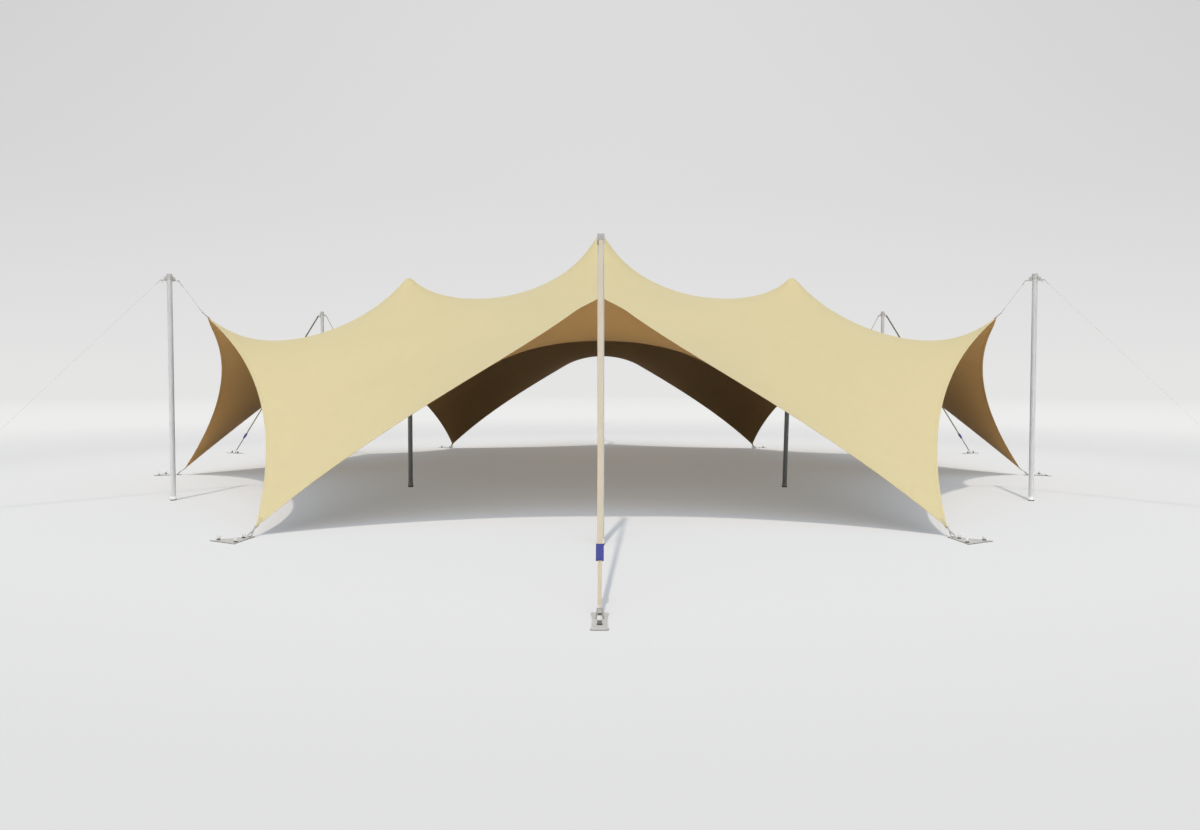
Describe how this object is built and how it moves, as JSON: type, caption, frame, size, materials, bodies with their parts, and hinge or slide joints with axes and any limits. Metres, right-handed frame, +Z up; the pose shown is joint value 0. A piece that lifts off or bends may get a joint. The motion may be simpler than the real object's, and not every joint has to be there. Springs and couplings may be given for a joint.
{
  "type": "hexagonal stretch tent",
  "caption": "Open-sided tent: one tensioned sheet over inner poles, pulled to ground anchors at its corners and held up at its sides by free-standing poles with guy straps",
  "frame": {"origin": "on the ground, at the middle of the centre pole's foot", "axes": "+Z up; -Y towards the front outer pole, the side seen in the picture; +X to the right of someone facing +Y"},
  "size_m": [16.7368, 19.291, 4.0424],
  "materials": {
    "sheet": "coated stretch fabric, cream outside and brown inside, matt with a faint sheen",
    "pole": "satin anodised tube, pale grey",
    "inner_pole": "satin anodised tube, pale grey, seen in shade",
    "webbing": "woven polyester webbing, cream",
    "ratchet_cover": "woven sleeve, mid blue",
    "anchor": "galvanised steel plate and stakes"
  },
  "bodies": {
    "root": {"canopy_leg_front_left": "sheet", "canopy_leg_front_right": "sheet", "canopy_leg_left": "sheet", "canopy_leg_right": "sheet", "canopy_leg_back_left": "sheet", "canopy_leg_back_right": "sheet", "canopy_bay_front": "sheet", "canopy_bay_back": "sheet", "canopy_bay_left_front": "sheet", "canopy_bay_right_front": "sheet", "canopy_bay_left_back": "sheet", "canopy_bay_right_back": "sheet", "pole_front": "pole", "pole_back": "pole", "pole_left_front": "pole", "pole_right_front": "pole", "pole_left_back": "pole", "pole_right_back": "pole", "pole_centre": "inner_pole", "pole_inner_left": "inner_pole", "pole_inner_right": "inner_pole", "pole_inner_back": "inner_pole", "guy_strap_front": "webbing", "guy_strap_back": "webbing", "guy_strap_left_front": "webbing", "guy_strap_right_front": "webbing", "guy_strap_left_back": "webbing", "guy_strap_right_back": "webbing", "ratchet_cover_front": "ratchet_cover", "ratchet_cover_back": "ratchet_cover", "ratchet_cover_left_front": "ratchet_cover", "ratchet_cover_right_front": "ratchet_cover", "ratchet_cover_left_back": "ratchet_cover", "ratchet_cover_right_back": "ratchet_cover", "tip_strap_front": "webbing", "tip_strap_back": "webbing", "tip_strap_left_front": "webbing", "tip_strap_right_front": "webbing", "tip_strap_left_back": "webbing", "tip_strap_right_back": "webbing", "guy_anchor_front": "anchor", "guy_anchor_back": "anchor", "guy_anchor_left_front": "anchor", "guy_anchor_right_front": "anchor", "guy_anchor_left_back": "anchor", "guy_anchor_right_back": "anchor", "corner_anchor_front_left": "anchor", "corner_anchor_front_right": "anchor", "corner_anchor_left": "anchor", "corner_anchor_right": "anchor", "corner_anchor_back_left": "anchor", "corner_anchor_back_right": "anchor"}
  },
  "joints": []
}
